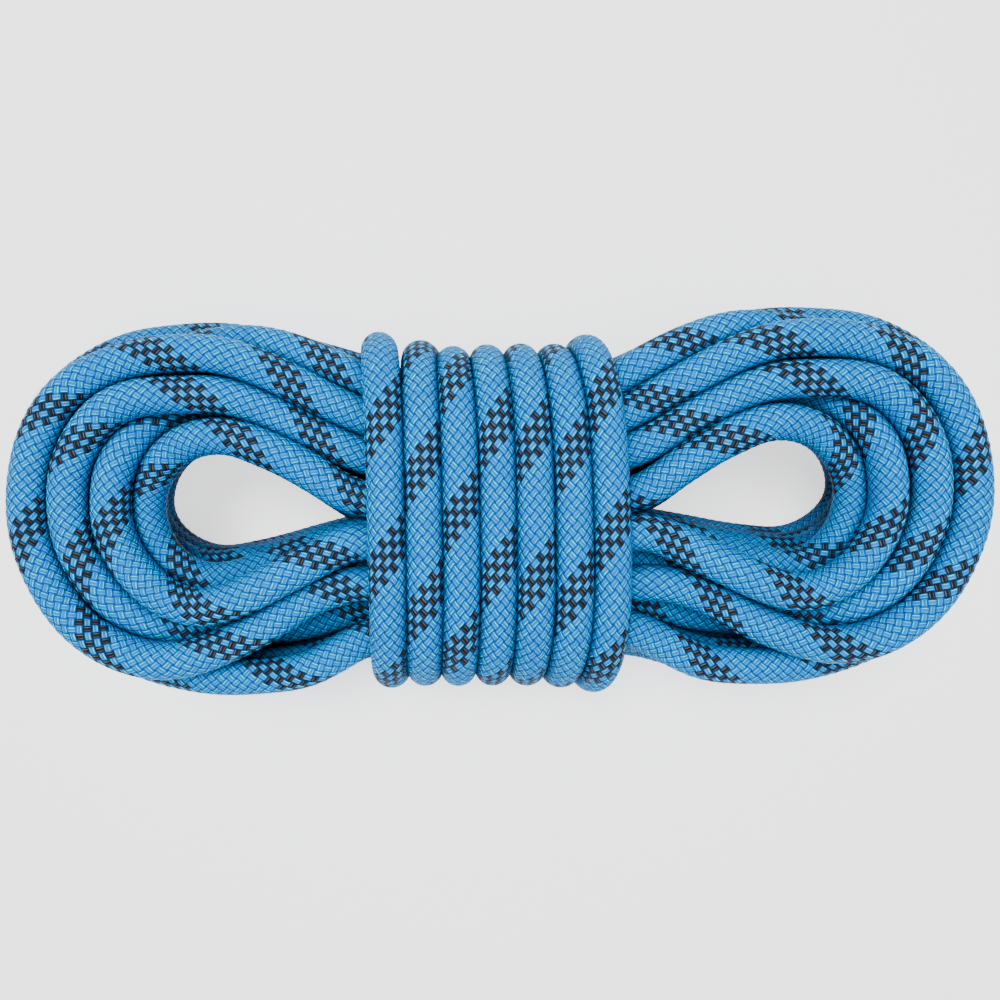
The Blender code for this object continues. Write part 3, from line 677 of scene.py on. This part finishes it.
# ---- materials ----------------------------------------------------------------------------------
class Nodes:
    """A short way to write a material's node tree."""

    def __init__(self, name):
        self.material = bpy.data.materials.new(name)
        self.material.use_nodes = True
        self.tree = self.material.node_tree
        self.shader = self.tree.nodes["Principled BSDF"]

    def add(self, kind, values=(), **settings):
        """A node with these settings, and values or links for its inputs in their order."""
        node = self.tree.nodes.new(kind)
        for key, value in settings.items():
            setattr(node, key, value)
        for number, value in enumerate(values):
            self.put(node.inputs[number], value)
        return node

    def put(self, socket, value):
        """Links a socket or sets its value."""
        if isinstance(value, bpy.types.NodeSocket):
            self.tree.links.new(value, socket)
        else:
            socket.default_value = value

    def math(self, operation, *values, clamp=False):
        return self.add("ShaderNodeMath", values, operation=operation, use_clamp=clamp).outputs[0]

    def pick(self, which, first, second):
        """The first value where which is 1, the second where it is 0."""
        return self.math("ADD", self.math("MULTIPLY", first, which),
                         self.math("MULTIPLY", second, self.math("SUBTRACT", 1.0, which)))

    def mix(self, share, first, second):
        node = self.add("ShaderNodeMix", data_type="RGBA")
        self.put(node.inputs["Factor"], share)
        self.put(node.inputs["A"], first)
        self.put(node.inputs["B"], second)
        return node.outputs["Result"]

    def combine(self, x, y, z=0.0):
        return self.add("ShaderNodeCombineXYZ", (x, y, z)).outputs[0]

    def noise(self, vector, scale, detail=2.0):
        node = self.add("ShaderNodeTexNoise")
        self.put(node.inputs["Vector"], vector)
        node.inputs["Scale"].default_value = scale
        node.inputs["Detail"].default_value = detail
        return node.outputs["Fac"]

    def bump(self, height, distance, strength=1.0):
        node = self.add("ShaderNodeBump")
        self.put(node.inputs["Height"], height)
        node.inputs["Distance"].default_value = distance
        node.inputs["Strength"].default_value = strength
        self.tree.links.new(node.outputs["Normal"], self.shader.inputs["Normal"])


def rgba(colour):
    """A colour with full opacity."""
    return (*colour, 1.0)


def float_nodes(nodes, u, v, shift, mirrored):
    """For one of the two sets of floats: its cover and crests, noise, numbers and nearness."""
    u = nodes.math("ADD", u, shift)
    v = nodes.math("ADD", v, shift)
    column = nodes.math("ROUND", u)
    row = nodes.math("ROUND", v)
    du = nodes.math("SUBTRACT", u, column)
    dv = nodes.math("SUBTRACT", v, row)
    across = nodes.math("SUBTRACT" if mirrored else "ADD", du, dv)
    sway = nodes.math("SUBTRACT", nodes.noise(nodes.combine(u, v), SWAY_SCALE, 1.0), 0.5)
    across = nodes.math("ADD", across, nodes.math("MULTIPLY", sway, FLOAT_SWAY))
    along = nodes.math("ADD" if mirrored else "SUBTRACT", du, dv)
    side = nodes.math("ABSOLUTE", across)
    far = nodes.math("ABSOLUTE", along)
    in_width = nodes.math("SUBTRACT", FLOAT_WIDTH, side)
    in_width = nodes.math("MULTIPLY", in_width, FLOAT_EDGE, clamp=True)
    in_length = nodes.math("SUBTRACT", 1 - FLOAT_WIDTH, far)
    in_length = nodes.math("MULTIPLY", in_length, FLOAT_TIP, clamp=True)
    cover = nodes.math("MULTIPLY", in_width, in_length)
    ply = nodes.math("MULTIPLY", nodes.math("SUBTRACT", side, PLY_AT), 1 / PLY_WIDTH)
    ply = nodes.math("SUBTRACT", 1.0, nodes.math("MULTIPLY", ply, ply), clamp=True)
    # painted light: one ply of each float gets the full painted highlight, the other ply less, as
    # if lit from one side
    lit_ply = nodes.math("GREATER_THAN", across, 0.0)
    lit_ply = nodes.math("ADD", SHADED_PLY_HIGHLIGHT, nodes.math("MULTIPLY", lit_ply, 1 - SHADED_PLY_HIGHLIGHT))
    ply = nodes.math("MULTIPLY", ply, lit_ply)
    dome = nodes.math("POWER", nodes.math("MULTIPLY", far, 1 / (1 - FLOAT_WIDTH)), 3.0)
    dome = nodes.math("SUBTRACT", 1.0, dome, clamp=True)
    crest = nodes.math("MULTIPLY", ply, dome)
    fibre = nodes.noise(nodes.combine(nodes.math("MULTIPLY", across, FIBRE_ACROSS),
                                      nodes.math("MULTIPLY", along, FIBRE_ALONG), row),
                        FIBRE_SCALE)
    own = nodes.add("ShaderNodeTexWhiteNoise", noise_dimensions="2D")
    place = nodes.combine(nodes.math("FLOORED_MODULO", column, float(CARRIERS)), row)
    nodes.put(own.inputs["Vector"], place)
    beside = nodes.math("MULTIPLY", nodes.math("LESS_THAN", side, BESIDE_WIDTH),
                        nodes.math("LESS_THAN", far, BESIDE_LENGTH))
    return cover, crest, fibre, own.outputs["Value"], column, row, beside


def sheath_material():
    """Blue yarn with painted highlights on its crests, painted shade in its valleys and crevices,
    and the dark tracer carriers.
    """
    nodes = Nodes("braided_sheath")
    uv = nodes.add("ShaderNodeUVMap", uv_map="braid").outputs["UV"]
    split = nodes.add("ShaderNodeSeparateXYZ", (uv,))
    u, v = split.outputs["X"], split.outputs["Y"]
    cover_a, crest_a, fibre_a, own_a, column, row, beside = float_nodes(nodes, u, v, 0.0, False)
    cover_b, crest_b, fibre_b, own_b, _, _, _ = float_nodes(nodes, u, v, 0.5, True)
    carrier = nodes.math("FLOORED_MODULO", nodes.math("SUBTRACT", column, row), float(CARRIERS))
    tracer = nodes.math("LESS_THAN", carrier, TRACER - 0.5)
    which = nodes.math("GREATER_THAN", cover_a, cover_b)
    dark = nodes.math("MULTIPLY", tracer, which)

    crest = nodes.math("MAXIMUM", nodes.math("MULTIPLY", crest_a, cover_a),
                       nodes.math("MULTIPLY", crest_b, cover_b))
    cover = nodes.math("MAXIMUM", cover_a, cover_b)
    fibre = nodes.pick(which, fibre_a, fibre_b)
    own = nodes.pick(which, own_a, own_b)

    # painted highlight: the crests are lightened toward the highlight colours where the lamps'
    # glints would fall
    lift = nodes.math("ADD", nodes.math("MULTIPLY", fibre, FIBRE_HIGHLIGHT),
                      nodes.math("MULTIPLY", own, OWN_HIGHLIGHT))
    painted_highlight = nodes.math("MULTIPLY", nodes.math("POWER", crest, 2.0), lift, clamp=True)
    blue = nodes.mix(painted_highlight, rgba(BLUE), rgba(PAINTED_BLUE_HIGHLIGHT))
    black = nodes.mix(painted_highlight, rgba(TRACER_DARK), rgba(PAINTED_TRACER_HIGHLIGHT))
    yarn = nodes.mix(dark, blue, black)
    # painted shade: the valleys between the floats are darkened toward a shade blue, and beside a
    # tracer float toward the tracer's own dark
    valley = nodes.math("SUBTRACT", 1.0, cover)
    depth = nodes.mix(nodes.math("MULTIPLY", tracer, beside), rgba(PAINTED_VALLEY_SHADE), rgba(TRACER_DARK))
    colour = nodes.mix(nodes.math("MULTIPLY", valley, PAINTED_SHADE_SHARE), yarn, depth)
    # painted shade in the crevices and where the bundle hides the sky
    painted_shade = nodes.add("ShaderNodeAttribute", attribute_name="painted_shade").outputs["Fac"]
    colour = nodes.mix(nodes.math("MULTIPLY", painted_shade, PAINTED_SHADE_SHARE), colour, rgba(PAINTED_CREVICE_SHADE))
    nodes.put(nodes.shader.inputs["Base Color"], colour)
    rough = nodes.math("SUBTRACT", YARN_ROUGH, nodes.math("MULTIPLY", painted_highlight, CREST_SMOOTHER))
    nodes.put(nodes.shader.inputs["Roughness"], rough)
    nodes.shader.inputs["Specular Tint"].default_value = rgba(GLINT)
    nodes.shader.inputs["Specular IOR Level"].default_value = YARN_SPECULAR
    height = nodes.math("ADD", crest, nodes.math("MULTIPLY", fibre, FIBRE_RELIEF))
    nodes.bump(height, BUMP * MM)
    return nodes.material


def plain_material(name, colour, roughness, grain, depth):
    """A small part's material: one colour, varied and roughened by a fine grain."""
    nodes = Nodes(name)
    place = nodes.add("ShaderNodeTexCoord").outputs["Object"]
    speck = nodes.noise(place, grain, 4.0)
    darker = tuple(0.72 * part for part in colour)
    nodes.put(nodes.shader.inputs["Base Color"], nodes.mix(speck, rgba(colour), rgba(darker)))
    nodes.put(nodes.shader.inputs["Roughness"],
              nodes.math("ADD", roughness - 0.08, nodes.math("MULTIPLY", speck, 0.16)))
    nodes.bump(speck, depth * MM, 0.6)
    return nodes.material


# ---- the opened ends ----------------------------------------------------------------------------
def turned_points(profile, start, direction, sides):
    """Rings round a straight line, from (along, radius) pairs."""
    direction = unit(direction)
    side = unit(np.cross(direction, (0.0, 0.0, 1.0)))
    up = np.cross(direction, side)
    angle = math.tau * np.arange(sides) / sides
    out = np.cos(angle)[:, None] * side + np.sin(angle)[:, None] * up
    rings = [start + direction * along + out * radius for along, radius in profile]
    return np.array(rings)


def flat_uv(rings, sides):
    """Plain UVs for a small turned piece."""
    around, along = np.meshgrid(np.linspace(0, 1, sides + 1), np.linspace(0, 1, rings))
    return np.stack([around, along], axis=2)


def unit(vector):
    """The same direction, one long."""
    return np.asarray(vector) / np.linalg.norm(vector)


def strand_points(number, start, direction, length):
    """One core strand: three plies twisted together, in the middle or winding round it."""
    direction = unit(direction)
    side = unit(np.cross(direction, (0.0, 0.0, 1.0)))
    up = np.cross(direction, side)
    ring = STRAND_RING if number else 0.0
    rings = []
    for along in np.linspace(0.0, length, STRAND_RINGS):
        turn = math.tau * (number / (STRANDS - 1) + STRAND_TWIST * along / OPENED)
        centre = start + direction * along + ring * (math.cos(turn) * side + math.sin(turn) * up)
        angle = math.tau * np.arange(STRAND_SIDES) / STRAND_SIDES
        crest = np.abs(np.cos(STRAND_PLIES / 2 * (angle - along * PLY_TURN)))
        radius = STRAND * (1 - STRAND_GROOVE + STRAND_GROOVE * crest)
        out = np.cos(angle)[:, None] * side + np.sin(angle)[:, None] * up
        rings.append(centre + out * radius[:, None])
    return np.array(rings)


def make_end(letter, braid, outermost, innermost, materials):
    """The sheath, core strands, melted plug and sleeve at one end of the rope, as a list."""
    inward = braid.line[innermost]
    tip = braid.line[outermost]
    direction = tip - inward
    length = float(np.linalg.norm(direction))
    bore = SHEATH_OUT - SHEATH_WALL

    name = f"opened_sheath_{letter}"
    first, last = sorted((outermost, innermost))
    sheath = add_piece(name, braid.mesh(name, first, last, bore), materials["sheath"])
    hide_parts(f"end_{letter}_sheath")
    extras = [sheath]
    for number in range(STRANDS):
        points = strand_points(number, inward, direction, length - PLUG)
        name = f"core_{letter}_{number + 1}"
        strand = add_piece(name, grid_mesh(name, points * MM, flat_uv(STRAND_RINGS, STRAND_SIDES)),
                           materials["core"])
        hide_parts(f"end_{letter}_core_strand_{number + 1}")
        extras.append(strand)
    domed = [(length - PLUG, bore - 0.15), (length - 0.2, bore - 0.15),
             (length + 0.25, bore - 0.7), (length + 0.45, bore - 1.8), (length + 0.5, 0.4)]
    name = f"melted_plug_{letter}"
    points = turned_points(domed, inward, direction, PLUG_SIDES)
    plug = add_piece(name, grid_mesh(name, points * MM, flat_uv(len(domed), PLUG_SIDES)),
                     materials["fused"])
    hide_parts(f"end_{letter}_plug")
    extras.append(plug)
    begin = length + SLEEVE_END - SLEEVE
    stop = length + SLEEVE_END
    wall = [(begin, SLEEVE_IN), (begin, SLEEVE_OUT - 0.06), (begin + 0.1, SLEEVE_OUT)]
    wall += [(begin + 0.1 + (SLEEVE - 0.2) * k / SLEEVE_RIDGES, SLEEVE_OUT - 0.05 * (k % 2))
             for k in range(1, SLEEVE_RIDGES)]
    wall += [(stop - 0.1, SLEEVE_OUT), (stop, SLEEVE_OUT - 0.06), (stop, SLEEVE_IN),
             (begin, SLEEVE_IN)]
    name = f"end_sleeve_{letter}"
    points = turned_points(wall, inward, direction, SLEEVE_SIDES)
    sleeve = add_piece(name, grid_mesh(name, points * MM, flat_uv(len(wall), SLEEVE_SIDES),
                                       closed_ends=False), materials["sleeve"])
    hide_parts(f"end_{letter}_sleeve")
    extras.append(sleeve)
    return extras


# ---- the studio ---------------------------------------------------------------------------------
def make_camera(middle):
    """The camera, which looks straight down at the place where the layout has its origin."""
    data = bpy.data.cameras.new("camera")
    data.lens = LENS
    data.sensor_width = 36.0
    data.clip_start = 0.01
    camera = bpy.data.objects.new("camera", data)
    camera.location = (-middle[0] * MM, -middle[1] * MM, CAMERA_HEIGHT * MM)
    bpy.context.scene.collection.objects.link(camera)
    bpy.context.scene.camera = camera


def make_floor():
    """A plain pale floor. It shines a little, because the photo's ground is white."""
    mesh = bpy.data.meshes.new("floor")
    half = FLOOR_HALF
    mesh.from_pydata([(-half, -half, 0), (half, -half, 0), (half, half, 0), (-half, half, 0)], [],
                     [(0, 1, 2, 3)])
    floor = bpy.data.objects.new("floor", mesh)
    nodes = Nodes("pale_floor")
    nodes.shader.inputs["Base Color"].default_value = (0.86, 0.87, 0.88, 1.0)
    nodes.shader.inputs["Roughness"].default_value = 0.9
    nodes.shader.inputs["Emission Color"].default_value = (1.0, 1.0, 1.0, 1.0)
    nodes.shader.inputs["Emission Strength"].default_value = 1.3
    mesh.materials.append(nodes.material)
    bpy.context.scene.collection.objects.link(floor)


def make_light(name, place, size, power):
    """A square area light that points at the middle of the bundle."""
    data = bpy.data.lights.new(name, "AREA")
    data.shape = "SQUARE"
    data.size = size
    data.energy = power
    light = bpy.data.objects.new(name, data)
    light.location = place
    direction = unit(np.array(place) - np.array((0.0, 0.0, 0.03)))
    pitch = math.acos(direction[2])
    yaw = math.atan2(direction[1], direction[0])
    light.rotation_euler = (0.0, pitch, yaw)
    bpy.context.scene.collection.objects.link(light)


def make_studio():
    """The floor, the lights and a dim sky."""
    make_floor()
    for name, place, size, power in LIGHTS:
        make_light(name, place, size, power)
    world = bpy.data.worlds.new("studio")
    world.use_nodes = True
    background = world.node_tree.nodes["Background"]
    background.inputs["Color"].default_value = (0.93, 0.96, 1.0, 1.0)
    background.inputs["Strength"].default_value = 0.06
    bpy.context.scene.world = world


def make_rope(rope, names, starts, materials):
    """Every stretch of the rope, and what is on its ends."""
    braid = Braid(rope, names, starts)
    opened = round(OPENED / braid.spacing)
    rings = len(braid.line) - 1
    places = [braid.place_of(rope[start]) for start in starts] + [rings]
    places[0] = 0
    for name, first, last in zip(names, places, places[1:]):
        first = opened if name == "end_a" else first
        last = rings - opened if name == "end_b" else last
        piece = add_piece(f"rope_{name}", braid.mesh(f"rope_{name}", first, last),
                          materials["sheath"])
        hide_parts(name)
        if name == "end_a":
            make_end("a", braid, 0, opened, materials)
        elif name == "end_b":
            make_end("b", braid, rings, rings - opened, materials)


def main():
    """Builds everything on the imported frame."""
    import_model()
    start, names, starts = lay_out()
    rope, middle = settle(start, names, starts)
    make_camera(middle)
    materials = {
        "sheath": sheath_material(),
        "core": plain_material("twisted_core_yarn", CORE_WHITE, 0.8, 900.0, 0.08),
        "fused": plain_material("melted_end", FUSED_BLUE, 0.32, 500.0, 0.05),
        "sleeve": plain_material("shrunk_sleeve", SLEEVE_BLACK, 0.42, 700.0, 0.03),
    }
    make_rope(rope, names, starts, materials)
    make_studio()


main()
